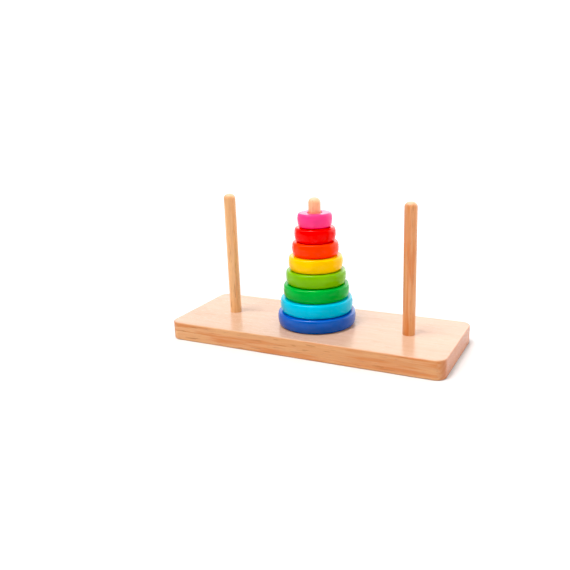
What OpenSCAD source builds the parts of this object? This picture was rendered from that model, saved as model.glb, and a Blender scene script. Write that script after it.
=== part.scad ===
// Tower of Hanoi stacking puzzle: a solid wood board, three dowel pegs glued
// into it, and eight turned and painted rings threaded on the middle peg.
// Millimetres, +Z up. The origin is the centre of the board's underside,
// the row of pegs runs along X and the short side of the board along Y.

/* [Board] */
// Length of the board, along the row of pegs
board_length = 240; // [225:1:300]
// Width of the board
board_width = 90; // [80:1:120]
// Thickness of the board
board_thickness = 16; // [15:0.5:24]
// Radius of the four upright corners
corner_radius = 8; // [3:0.5:15]
// Radius that softens the top and bottom edges
edge_radius = 1.2; // [0.5:0.1:2.5]

/* [Pegs] */
// Diameter of the dowels
peg_diameter = 10; // [9:0.5:11]
// Height of a peg above the board
peg_height = 106; // [100:1:140]
// Distance between neighbouring pegs
peg_pitch = 80; // [70:1:90]
// Radius of the rounding at the top of a peg
peg_rounding = 4; // [1:0.5:4]
// Diameter of the turned-down end that is glued into the board
tenon_diameter = 9; // [6:0.5:9]
// Length of the glued end
tenon_length = 11; // [8:0.5:12]

/* [Rings] */
// Thickness of every ring
ring_thickness = 11.75; // [10:0.05:12]
// Hole through every ring
ring_bore = 12; // [11.5:0.1:13]
// Diameters of the lower four rings, from the bottom up
lower_diameters = [65.5, 60.5, 55, 50]; // [46:0.5:78]
// Diameters of the upper four rings, from the bottom up
upper_diameters = [45, 38.5, 34, 28.5]; // [27:0.5:46]
// Radius of a ring's top shoulder
shoulder_radius = 1.8; // [1:0.1:3.5]
// Radius of the soft edge round a ring's underside
foot_radius = 2.4; // [0.5:0.1:2.5]
// Radius of the gently bulging side
side_radius = 16; // [11:0.5:30]

/* [Hidden] */
$fn = 96;
diameters = concat(lower_diameters, upper_diameters);
// Room for glue between a tenon and its hole, on the radius and at the bottom
glue_gap = 0.05;
hole_floor_gap = 0.5;
// Bevel that eases the foot of a tenon into its hole
tenon_bevel = 0.8;
// Bevel at both mouths of a ring's hole
bore_bevel = 0.6;
// Height of a ring's widest point above its underside
belly_height = ring_thickness * 0.55;
// Cutters run past the faces that they cut by this much
overrun = 1;

// Section of a bar with four rounded edges, centred, size wide and high
module rounded_section(width, height, radius) {
    square([width - 2 * radius, height], center = true);
    square([width, height - 2 * radius], center = true);
    for (x = [-1, 1], y = [-1, 1])
        translate([x * (width / 2 - radius), y * (height / 2 - radius)])
            circle(radius);
}

// One upright corner of the board: a disc with its rim rounded
module board_corner() {
    rotate_extrude() {
        intersection() {
            rounded_section(2 * corner_radius, board_thickness, edge_radius);
            translate([0, -board_thickness])
                square([corner_radius + overrun, 2 * board_thickness]);
        }
    }
}

// The board without its holes
module board_blank() {
    straight_length = board_length - 2 * corner_radius;
    straight_width = board_width - 2 * corner_radius;
    translate([0, 0, board_thickness / 2]) {
        rotate([90, 0, 90])
            linear_extrude(straight_length, center = true)
                rounded_section(board_width, board_thickness, edge_radius);
        rotate([90, 0, 0])
            linear_extrude(straight_width, center = true)
                rounded_section(board_length, board_thickness, edge_radius);
        for (x = [-1, 1], y = [-1, 1])
            translate([x * straight_length / 2, y * straight_width / 2, 0])
                board_corner();
    }
}

module board() {
    hole_depth = tenon_length + hole_floor_gap;
    color([0.93, 0.78, 0.62])
        difference() {
            board_blank();
            for (i = [-1 : 1])
                translate([i * peg_pitch, 0, board_thickness - hole_depth])
                    cylinder(h = hole_depth + overrun, d = tenon_diameter + 2 * glue_gap);
        }
}

// One peg: a tenon, a straight shaft and a rounded top. place is -1, 0 or 1.
module peg(place) {
    radius = peg_diameter / 2;
    tenon_radius = tenon_diameter / 2;
    color([0.90, 0.68, 0.46])
        translate([place * peg_pitch, 0, board_thickness])
            rotate_extrude() {
                polygon([
                    [0, -tenon_length],
                    [tenon_radius - tenon_bevel, -tenon_length],
                    [tenon_radius, -tenon_length + tenon_bevel],
                    [tenon_radius, 0],
                    [radius, 0],
                    [radius, peg_height - peg_rounding],
                    [radius - peg_rounding, peg_height - peg_rounding],
                    [radius - peg_rounding, peg_height],
                    [0, peg_height]
                ]);
                intersection() {
                    translate([radius - peg_rounding, peg_height - peg_rounding])
                        circle(peg_rounding);
                    translate([radius - peg_rounding, peg_height - peg_rounding])
                        square(peg_rounding + overrun);
                }
            }
}

// Where a rounding of the given radius, centred at height, sits so that it
// runs smoothly into the bulging side of a ring of the given radius
function rounding_centre(ring_radius, radius, height) =
    ring_radius - side_radius
    + sqrt(pow(side_radius - radius, 2) - pow(height - belly_height, 2));

// Section of a ring, from its hole out to its bulging side
module ring_section(ring_radius) {
    bore_radius = ring_bore / 2;
    side_centre = [ring_radius - side_radius, belly_height];
    foot = [rounding_centre(ring_radius, foot_radius, foot_radius), foot_radius];
    top_height = ring_thickness - shoulder_radius;
    shoulder = [rounding_centre(ring_radius, shoulder_radius, top_height), top_height];
    // the points where the two roundings meet the side
    foot_end = side_centre + (foot - side_centre) * side_radius / norm(foot - side_centre);
    shoulder_end = side_centre
        + (shoulder - side_centre) * side_radius / norm(shoulder - side_centre);
    polygon([
        [bore_radius + bore_bevel, 0],
        [foot.x, 0],
        foot,
        foot_end,
        shoulder_end,
        shoulder,
        [shoulder.x, ring_thickness],
        [bore_radius + bore_bevel, ring_thickness],
        [bore_radius, ring_thickness - bore_bevel],
        [bore_radius, bore_bevel]
    ]);
    translate(foot)
        circle(foot_radius);
    translate(shoulder)
        circle(shoulder_radius);
    intersection() {
        translate(side_centre)
            circle(side_radius);
        translate([shoulder_end.x - overrun, foot_end.y])
            square([side_radius, shoulder_end.y - foot_end.y]);
    }
}

// One ring in its place on the middle peg. place counts from 0 at the bottom.
module ring(place, paint) {
    color(paint)
        translate([0, 0, board_thickness + place * ring_thickness])
            rotate_extrude()
                ring_section(diameters[place] / 2);
}

module ring_dark_blue() { ring(0, [0.02, 0.24, 0.62]); }
module ring_light_blue() { ring(1, [0.06, 0.66, 0.88]); }
module ring_green() { ring(2, [0.02, 0.62, 0.22]); }
module ring_light_green() { ring(3, [0.48, 0.76, 0.18]); }
module ring_yellow() { ring(4, [1.00, 0.78, 0.02]); }
module ring_orange() { ring(5, [0.98, 0.28, 0.04]); }
module ring_red() { ring(6, [0.92, 0.05, 0.06]); }
module ring_pink() { ring(7, [0.98, 0.28, 0.55]); }

board();
peg(-1);  // peg_left
peg(0);  // peg_centre
peg(1);  // peg_right
ring_dark_blue();
ring_light_blue();
ring_green();
ring_light_green();
ring_yellow();
ring_orange();
ring_red();
ring_pink();
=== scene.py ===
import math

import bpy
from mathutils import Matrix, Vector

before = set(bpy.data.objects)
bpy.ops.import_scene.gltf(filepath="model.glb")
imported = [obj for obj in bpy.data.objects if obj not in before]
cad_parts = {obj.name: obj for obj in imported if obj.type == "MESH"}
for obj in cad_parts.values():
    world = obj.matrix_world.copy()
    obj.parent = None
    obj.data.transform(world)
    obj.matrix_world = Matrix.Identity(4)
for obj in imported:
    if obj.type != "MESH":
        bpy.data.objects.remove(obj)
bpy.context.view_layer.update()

# The looks of a Tower of Hanoi puzzle: a lacquered wood board with three dowel
# pegs, and a stack of gloss painted rings on the middle peg. Everything is in
# metres, in the frame of the CAD model.

MM = 0.001
SENSOR_WIDTH = 36.0

# The camera, as fitted to the board, the pegs and the rings
CAMERA_AZIMUTH = 27.5
CAMERA_ELEVATION = 16.34
CAMERA_ROLL = -2.12
CAMERA_DISTANCE = 0.5716
CAMERA_TARGET = Vector((-0.0294, 0.0, 0.0456))
CAMERA_LENS = 42.16

# The studio: how bright it is in each direction, where white paper is about 1. The
# walls are brighter behind the puzzle than in front of it, and their light is then
# multiplied by a share that grows from left to right.
BACK_LIGHT = 1.27
FRONT_LIGHT = 0.3
LEFT_SHARE = 0.60
RIGHT_SHARE = 2.30
BACK_OVERHEAD = 0.4
FRONT_OVERHEAD = 1.12
BACKDROP = 1.1

# A small bright patch overhead draws the thin lines along the rings' shoulders. Its
# edge is soft, over this share of its radius either way. Widths are in degrees.
CEILING_LAMP = 22.0
CEILING_LAMP_WIDTH = 17.0
CEILING_LAMP_FROM = Vector((-0.16, -0.16, 0.97))
CEILING_LAMP_EDGE = 0.15

# A very wide sun, high at the front left, for the shade at the board's right end
SUN_FROM = Vector((-0.45, -0.50, 0.74))
SUN_WIDTH = 50.0
SUN_POWER = 0.95

# The white paper on the floor, between these two greys, and its radius in metres
PAPER_GREYS = (0.77, 0.79)
FLOOR_RADIUS = 6.0
FLOOR_CORNERS = 96

# The level that the view draws as black, for the deep colours of gloss paint
BLACK_LEVEL = 0.016

# How strongly paint mirrors what is round it. The lowest ring is seen in a deeper
# gloss than the rest, with the wood it stands on in its lower half.
GLOSS = 0.2
LOWEST_RING_GLOSS = 0.38

# Most of a noise lies between these two values
NOISE_SPAN = (0.3, 0.7)

# Roughness where the lacquer and the paint are smoothest, and where they are dullest
LACQUER_ROUGHNESS = (0.18, 0.26)
PAINT_ROUGHNESS = (0.12, 0.20)

# How far the end colour takes over on wood that is cut across, which on the pegs' domed tops is a
# painted highlight, and the length of grain that a wood's shade_along is given for
END_SHARE = 0.6
SHADE_LENGTH = 100.0 * MM

# Pores in the wood as length, width and the level of noise above which one shows
FINE_PORES = (3.0 * MM, 0.22 * MM, 0.66)
COARSE_PORES = (7.0 * MM, 0.55 * MM, 0.67)

# Shares of a wood's deep colour, in red, green and blue, that flames and pores have
FLAME_SHARES = (0.98, 0.76, 0.58)
PORE_SHARES = (0.62, 0.48, 0.40)

# How deep the pores in the wood and the marks in the paint look, in metres
WOOD_RELIEF = 0.00005
LATHE_RELIEF = 0.00003
BRUSH_RELIEF = 0.00005

# Paint of each ring, from the bottom up, as linear colours
PAINTS = {
    "ring_dark_blue": (0.002, 0.093, 0.46),
    "ring_light_blue": (0.001, 0.49, 0.69),
    "ring_green": (0.001, 0.39, 0.038),
    "ring_light_green": (0.19, 0.46, 0.006),
    "ring_yellow": (0.95, 0.52, 0.001),
    "ring_orange": (0.95, 0.042, 0.001),
    "ring_red": (0.91, 0.002, 0.001),
    "ring_pink": (0.97, 0.052, 0.24),
}


# ---------------------------------------------------------------- node helpers

def new_material(name):
    """A material with a Principled shader, and the tree that holds it."""
    material = bpy.data.materials.new(name)
    material.use_nodes = True
    return material, material.node_tree


def add_node(tree, kind, inputs=None, **settings):
    """A node with its settings made, and each named input linked or given a value."""
    node = tree.nodes.new(kind)
    for name, value in settings.items():
        setattr(node, name, value)
    for key, value in (inputs or {}).items():
        set_input(tree, node.inputs[key], value)
    return node


def set_input(tree, socket, value):
    """Links an output to the socket, or gives it a constant."""
    if isinstance(value, bpy.types.NodeSocket):
        tree.links.new(value, socket)
    else:
        socket.default_value = value


def calculate(tree, operation, first, second=0.0, third=0.0, clamp=False):
    """The result of a Math node."""
    node = add_node(tree, "ShaderNodeMath", operation=operation, use_clamp=clamp)
    for socket, value in zip(node.inputs, (first, second, third)):
        set_input(tree, socket, value)
    return node.outputs[0]


def weighted(tree, *parts):
    """The sum of values, each given as (value, weight)."""
    total = 0.0
    for value, weight in parts:
        total = calculate(tree, "MULTIPLY_ADD", value, weight, total)
    return total


def remap(tree, value, low, high, new_low=0.0, new_high=1.0, smooth=False):
    """The value carried from one range to another, held at the ends."""
    node = add_node(
        tree,
        "ShaderNodeMapRange",
        {"Value": value, "From Min": low, "From Max": high, "To Min": new_low, "To Max": new_high},
        interpolation_type="SMOOTHSTEP" if smooth else "LINEAR",
    )
    return node.outputs["Result"]


def mix_colours(tree, factor, first, second, blend="MIX"):
    """Two colours mixed; a plain triple is taken as a constant."""
    node = add_node(tree, "ShaderNodeMix", data_type="RGBA", blend_type=blend)
    set_input(tree, node.inputs["Factor"], factor)
    for socket, colour in ((node.inputs[6], first), (node.inputs[7], second)):
        set_input(tree, socket, colour if isinstance(colour, bpy.types.NodeSocket) else (*colour, 1.0))
    return node.outputs[2]


def stretched(tree, coordinates, scale, offset=(0.0, 0.0, 0.0)):
    """Coordinates moved by offset, then scaled along each axis."""
    moved = add_node(tree, "ShaderNodeVectorMath", operation="ADD")
    set_input(tree, moved.inputs[0], coordinates)
    moved.inputs[1].default_value = offset
    scaled = add_node(tree, "ShaderNodeVectorMath", operation="MULTIPLY")
    set_input(tree, scaled.inputs[0], moved.outputs[0])
    scaled.inputs[1].default_value = scale
    return scaled.outputs[0]


def noise(tree, vector, scale=1.0, detail=2.0, roughness=0.5):
    """A noise value from 0 to 1, around 0.5."""
    node = add_node(
        tree,
        "ShaderNodeTexNoise",
        {"Vector": vector, "Scale": scale, "Detail": detail, "Roughness": roughness},
    )
    return node.outputs["Fac"]


def grain_noise(tree, place, shift, along, across, detail=2.0, roughness=0.5):
    """Noise with one frequency along the grain and one across it, in cycles a metre."""
    vector = stretched(tree, place, (along, across, across), shift)
    return noise(tree, vector, detail=detail, roughness=roughness)


def bump(tree, height, distance, strength=1.0, below=None):
    """A normal from a height from 0 to 1 that stands for this distance in metres."""
    inputs = {"Height": height, "Distance": distance, "Strength": strength}
    node = add_node(tree, "ShaderNodeBump", inputs)
    if below is not None:
        tree.links.new(below, node.inputs["Normal"])
    return node.outputs["Normal"]


def finish_shader(tree, **inputs):
    """Sets inputs of the Principled shader, whose names have _ for each space."""
    shader = tree.nodes["Principled BSDF"]
    for name, value in inputs.items():
        set_input(tree, shader.inputs[name.replace("_", " ")], value)


# ------------------------------------------------------------------- materials

def shaded(colour, shares):
    """The colour with each channel multiplied by its share."""
    return tuple(channel * share for channel, share in zip(colour, shares))


def grain_coordinates(tree, grain_axis):
    """Object coordinates turned so that the grain runs along X."""
    place = add_node(tree, "ShaderNodeTexCoord").outputs["Object"]
    if grain_axis == "X":
        return place
    parts = add_node(tree, "ShaderNodeSeparateXYZ", {0: place})
    turned = add_node(
        tree,
        "ShaderNodeCombineXYZ",
        {"X": parts.outputs["Z"], "Y": parts.outputs["Y"], "Z": parts.outputs["X"]},
    )
    return turned.outputs[0]


def facing(tree, axis):
    """1 on faces that look along the axis, either way, and 0 on those that lie along it.

    A rounded edge between the two has what lies between.
    """
    normal = add_node(tree, "ShaderNodeTexCoord").outputs["Normal"]
    part = add_node(tree, "ShaderNodeSeparateXYZ", {0: normal}).outputs[axis]
    return remap(tree, calculate(tree, "ABSOLUTE", part), 0.35, 0.95, smooth=True)


def dashes(tree, place, shift, length, width, threshold):
    """Thin marks along the grain, of about this length and width, 1 where one lies."""
    lengthwise = 0.45 / length
    crosswise = 0.45 / width
    spread = grain_noise(tree, place, shift, lengthwise, crosswise, detail=1.0)
    # the marks crowd together in some places and are rare in others
    crowd = grain_noise(tree, place, shift, 14.0, 160.0, detail=1.0)
    level = remap(tree, crowd, 0.35, 0.65, threshold + 0.05, threshold - 0.05)
    return remap(tree, calculate(tree, "SUBTRACT", spread, level), 0.0, 0.06)


def late_growth(tree, place, shift, heart, ring_width):
    """0 in the pale early wood of each year, rising to 1 in its darker late wood."""
    # the growth rings wander a little along the grain
    wander = grain_noise(tree, place, shift, 9.0, 28.0)
    across = stretched(tree, place, (0.0, 1.0, 1.0), (0.0, -heart[0], -heart[1]))
    radius = add_node(tree, "ShaderNodeVectorMath", operation="LENGTH")
    tree.links.new(across, radius.inputs[0])
    years = calculate(tree, "DIVIDE", radius.outputs["Value"], ring_width)
    years = calculate(tree, "MULTIPLY_ADD", wander, 3.0, years)
    season = calculate(tree, "FRACT", years)
    rise = remap(tree, season, 0.30, 0.90, smooth=True)
    fall = remap(tree, season, 1.0, 0.90, smooth=True)
    return calculate(tree, "MULTIPLY", rise, fall)


def wood_material(
    name, grain_axis, edge, face, end, heart, ring_width, seed, figure=1.0, shade_along=0.0,
):
    """Straight-grained pale hardwood under clear satin lacquer.

    edge and face are (pale, deep) colours of upright and of level faces; the board's paler,
    pinker face colours are partly the wood's own and partly painted light, standing in
    for the sheen and the strong overhead light on level tops. end is the colour that
    takes over where the grain is cut across: darker end grain on the board, and on the
    pegs a pale colour that is a painted highlight on their domed tops. heart is the
    middle of the tree that the piece was sawn from, across the grain, ring_width the
    width of a year's growth, seed a shift that makes each piece its own, figure how
    strong the red flames on upright faces are, and shade_along how much deeper the
    colour gets along each SHADE_LENGTH of the grain, which on the pegs makes them paler
    towards the foot as painted light for the light that the board throws back up.
    """
    material, tree = new_material(name)
    place = grain_coordinates(tree, grain_axis)
    shift = (seed, seed * 0.37, seed * 0.71)
    level = facing(tree, "Z")
    endwise = facing(tree, grain_axis)

    # how deep the colour is: late growth, which shows most where the wood is cut
    # across, then broad tones, streaks a few millimetres wide, and fibres
    late = late_growth(tree, place, shift, heart, ring_width)
    tone = grain_noise(tree, place, shift, 5.0, 30.0)
    streak = grain_noise(tree, place, shift, 8.0, 170.0, detail=3.0, roughness=0.6)
    fibre = grain_noise(tree, place, shift, 50.0, 1300.0)
    along = add_node(tree, "ShaderNodeSeparateXYZ", {0: place}).outputs["X"]
    depth = weighted(
        tree,
        (late, 0.18),
        (calculate(tree, "MULTIPLY", late, endwise), 0.55),
        (remap(tree, tone, *NOISE_SPAN), 0.36),
        (remap(tree, streak, *NOISE_SPAN), 0.48),
        (calculate(tree, "SUBTRACT", fibre, 0.5), 0.55),
        # colour deepening along the grain; on the pegs it makes them paler towards the foot, painted
        # light for the light the board throws back up onto them
        (along, shade_along / SHADE_LENGTH),
    )
    edge_colour = mix_colours(tree, depth, *edge)
    face_colour = mix_colours(tree, depth, *face)

    # red flames a few centimetres long, where the saw crossed the years at a slant
    flame = grain_noise(tree, place, shift, 20.0, 330.0, detail=3.0, roughness=0.6)
    flame = calculate(tree, "MULTIPLY", remap(tree, flame, 0.47, 0.64), figure)
    flame = calculate(tree, "MULTIPLY", flame, remap(tree, endwise, 0.0, 1.0, 1.0, 0.0))
    edge_colour = mix_colours(tree, flame, edge_colour, shaded(edge[1], FLAME_SHARES))
    # Level faces take the face colours, paler and pinker than the upright ones: partly the wood's own
    # colour, partly painted light standing in for the sheen and the strong overhead light on the
    # board's top.
    colour = mix_colours(tree, level, edge_colour, face_colour)
    # Where the grain is cut across the end colour takes over: on the board the darker end grain, on the
    # pegs' domed tops a pale colour that is a painted highlight.
    colour = mix_colours(tree, calculate(tree, "MULTIPLY", endwise, END_SHARE), colour, end)

    # open pores, fine and coarse, stained darker than the wood
    fine = dashes(tree, place, shift, *FINE_PORES)
    coarse = dashes(tree, place, (shift[1], shift[2], shift[0]), *COARSE_PORES)
    fine_stain = calculate(tree, "MULTIPLY", fine, 0.7)
    coarse_stain = calculate(tree, "MULTIPLY", coarse, 0.6)
    stain = calculate(tree, "MAXIMUM", fine_stain, coarse_stain)
    stain = calculate(tree, "MULTIPLY", stain, remap(tree, level, 0.0, 1.0, 1.0, 0.45))
    colour = mix_colours(tree, stain, colour, shaded(edge[1], PORE_SHARES))

    height = calculate(tree, "MULTIPLY_ADD", fine, -1.0, calculate(tree, "MULTIPLY", fibre, 0.35))
    lacquer = remap(tree, streak, *NOISE_SPAN, *LACQUER_ROUGHNESS)
    finish_shader(
        tree,
        Base_Color=colour,
        Roughness=weighted(tree, (lacquer, 1.0), (fine, 0.15)),
        Normal=bump(tree, height, WOOD_RELIEF, 0.5),
    )
    return material


def paint_material(name, colour, gloss, seed):
    """Gloss paint brushed on turned wood, with faint marks of the lathe under the gloss."""
    material, tree = new_material(name)
    place = add_node(tree, "ShaderNodeTexCoord").outputs["Object"]
    shift = (seed, seed * 0.53, seed * 0.29)
    cloud = noise(tree, stretched(tree, place, (60.0, 60.0, 90.0), shift), detail=2.0)
    darker = tuple(channel * 0.90 for channel in colour)
    lighter = tuple(min(1.0, channel * 1.06) for channel in colour)
    shade = mix_colours(tree, remap(tree, cloud, *NOISE_SPAN), darker, lighter)
    ripple = noise(tree, stretched(tree, place, (350.0, 350.0, 350.0), shift), detail=2.0)
    turned = noise(tree, stretched(tree, place, (45.0, 45.0, 900.0), shift), detail=2.0)
    finish_shader(
        tree,
        Base_Color=shade,
        Roughness=remap(tree, cloud, *NOISE_SPAN, *PAINT_ROUGHNESS),
        Normal=bump(tree, turned, LATHE_RELIEF, 0.3, bump(tree, ripple, BRUSH_RELIEF, 0.3)),
    )
    tree.nodes["Principled BSDF"].inputs["Specular IOR Level"].default_value = gloss
    return material


def dress(node, material):
    """Gives a CAD node the material in every slot."""
    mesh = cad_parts[node].data
    for index in range(len(mesh.materials)):
        mesh.materials[index] = material


# ----------------------------------------------------------- camera and studio

def make_camera():
    azimuth = math.radians(CAMERA_AZIMUTH)
    elevation = math.radians(CAMERA_ELEVATION)
    roll = math.radians(CAMERA_ROLL)
    back = Vector((
        math.sin(azimuth) * math.cos(elevation),
        -math.cos(azimuth) * math.cos(elevation),
        math.sin(elevation),
    ))
    level_right = Vector((0.0, 0.0, 1.0)).cross(back).normalized()
    level_up = back.cross(level_right)
    right = level_right * math.cos(roll) + level_up * math.sin(roll)
    up = back.cross(right)
    data = bpy.data.cameras.new("camera")
    data.sensor_width = SENSOR_WIDTH
    data.lens = CAMERA_LENS
    data.clip_start = 0.01
    camera = bpy.data.objects.new("camera", data)
    turn = Matrix((right, up, back)).transposed().to_4x4()
    camera.matrix_world = Matrix.Translation(CAMERA_TARGET + back * CAMERA_DISTANCE) @ turn
    bpy.context.scene.collection.objects.link(camera)
    bpy.context.scene.camera = camera


def make_floor():
    """A wide round sheet of white paper for the puzzle to stand on."""
    dark_grey, light_grey = PAPER_GREYS
    material, tree = new_material("studio_paper")
    place = add_node(tree, "ShaderNodeTexCoord").outputs["Object"]
    tone = noise(tree, place, 3.0)
    shade = mix_colours(tree, tone, (dark_grey,) * 3, (light_grey,) * 3)
    finish_shader(tree, Base_Color=shade, Roughness=0.7)
    angles = [math.tau * corner / FLOOR_CORNERS for corner in range(FLOOR_CORNERS)]
    corners = [
        (FLOOR_RADIUS * math.cos(angle), FLOOR_RADIUS * math.sin(angle), 0.0) for angle in angles
    ]
    mesh = bpy.data.meshes.new("studio_floor")
    mesh.from_pydata(corners, [], [tuple(range(FLOOR_CORNERS))])
    mesh.materials.append(material)
    floor = bpy.data.objects.new("studio_floor", mesh)
    bpy.context.scene.collection.objects.link(floor)


def along_direction(tree, direction, axis):
    """How far a direction looks along an axis, from -1 to 1."""
    node = add_node(tree, "ShaderNodeVectorMath", operation="DOT_PRODUCT")
    tree.links.new(direction, node.inputs[0])
    node.inputs[1].default_value = axis
    return node.outputs["Value"]


def make_world():
    """Walls that are bright at the back and on the right, and a lamp overhead.

    What the camera sees of it is never darker than a white backdrop.
    """
    world = bpy.data.worlds.new("studio")
    world.use_nodes = True
    tree = world.node_tree
    tree.nodes.clear()
    direction = add_node(tree, "ShaderNodeTexCoord").outputs["Generated"]
    azimuth = math.radians(CAMERA_AZIMUTH)
    front = along_direction(tree, direction, (math.sin(azimuth), -math.cos(azimuth), 0.0))
    right = along_direction(tree, direction, (math.cos(azimuth), math.sin(azimuth), 0.0))
    height = add_node(tree, "ShaderNodeSeparateXYZ", {0: direction}).outputs["Z"]
    walls = remap(tree, front, -0.55, 0.8, BACK_LIGHT, FRONT_LIGHT, smooth=True)
    sided = remap(tree, right, -0.6, 0.6, LEFT_SHARE, RIGHT_SHARE)
    walls = calculate(tree, "MULTIPLY", walls, sided)
    overhead = remap(tree, front, -0.5, 0.6, BACK_OVERHEAD, FRONT_OVERHEAD, smooth=True)
    share = remap(tree, height, 0.35, 0.65, smooth=True)
    lit = calculate(tree, "MULTIPLY_ADD", share, calculate(tree, "SUBTRACT", overhead, walls), walls)
    rim = math.radians(CEILING_LAMP_WIDTH / 2)
    outer = math.cos(rim * (1 + CEILING_LAMP_EDGE))
    inner = math.cos(rim * (1 - CEILING_LAMP_EDGE))
    aimed = along_direction(tree, direction, CEILING_LAMP_FROM.normalized())
    lamp = remap(tree, aimed, outer, inner, smooth=True)
    lit = calculate(tree, "MULTIPLY_ADD", lamp, CEILING_LAMP, lit)
    seen = add_node(tree, "ShaderNodeLightPath").outputs["Is Camera Ray"]
    strength = calculate(tree, "MAXIMUM", lit, calculate(tree, "MULTIPLY", seen, BACKDROP))
    white = (1.0, 1.0, 1.0, 1.0)
    background = add_node(tree, "ShaderNodeBackground", {"Color": white, "Strength": strength})
    add_node(tree, "ShaderNodeOutputWorld", {"Surface": background.outputs[0]})
    bpy.context.scene.world = world


def make_sun():
    """One very wide sun, high at the front left."""
    data = bpy.data.lights.new("high_left", "SUN")
    data.angle = math.radians(SUN_WIDTH)
    data.energy = SUN_POWER
    sun = bpy.data.objects.new("high_left", data)
    sun.rotation_euler = SUN_FROM.to_track_quat("Z", "Y").to_euler()
    bpy.context.scene.collection.objects.link(sun)


make_camera()
make_floor()
make_world()
make_sun()

dress("board", wood_material(
    "board_lacquered", "X",
    edge=((0.74, 0.40, 0.180), (0.62, 0.265, 0.098)),
    face=((0.68, 0.445, 0.310), (0.60, 0.350, 0.225)),
    end=(0.44, 0.100, 0.028),
    heart=(0.012, -0.055), ring_width=3.4 * MM, seed=4.4, shade_along=0.10,
))
# Pale and deep colour of each peg, and the strength of its flames
PEG_WOODS = {
    "peg_left": ((0.95, 0.575, 0.285), (0.78, 0.40, 0.168), 0.4),
    "peg_centre": ((0.98, 0.58, 0.35), (0.93, 0.46, 0.24), 0.2),
    "peg_right": ((0.90, 0.47, 0.21), (0.68, 0.285, 0.110), 1.0),
}
for index, (node, (pale, deep, figure)) in enumerate(PEG_WOODS.items()):
    dress(node, wood_material(
        # end=(0.95, 0.66, 0.44) is a pale colour, a painted highlight on each peg's domed top
        f"{node}_lacquered", "Z", edge=(pale, deep), face=(pale, deep), end=(0.95, 0.66, 0.44),
        # shade_along=0.4 makes each peg paler towards its foot, painted light for the bounce from the
        # board
        heart=(0.02, 0.03), ring_width=2.6 * MM, seed=5.3 + 2.9 * index, figure=figure, shade_along=0.4,
    ))
for index, (node, colour) in enumerate(PAINTS.items()):
    gloss = LOWEST_RING_GLOSS if index == 0 else GLOSS
    dress(node, paint_material(f"{node}_paint", colour, gloss, 3.1 + 1.3 * index))

view = bpy.context.scene.view_settings
view.view_transform = "Standard"
view.use_curve_mapping = True
view.curve_mapping.black_level = (BLACK_LEVEL, BLACK_LEVEL, BLACK_LEVEL)
view.curve_mapping.update()
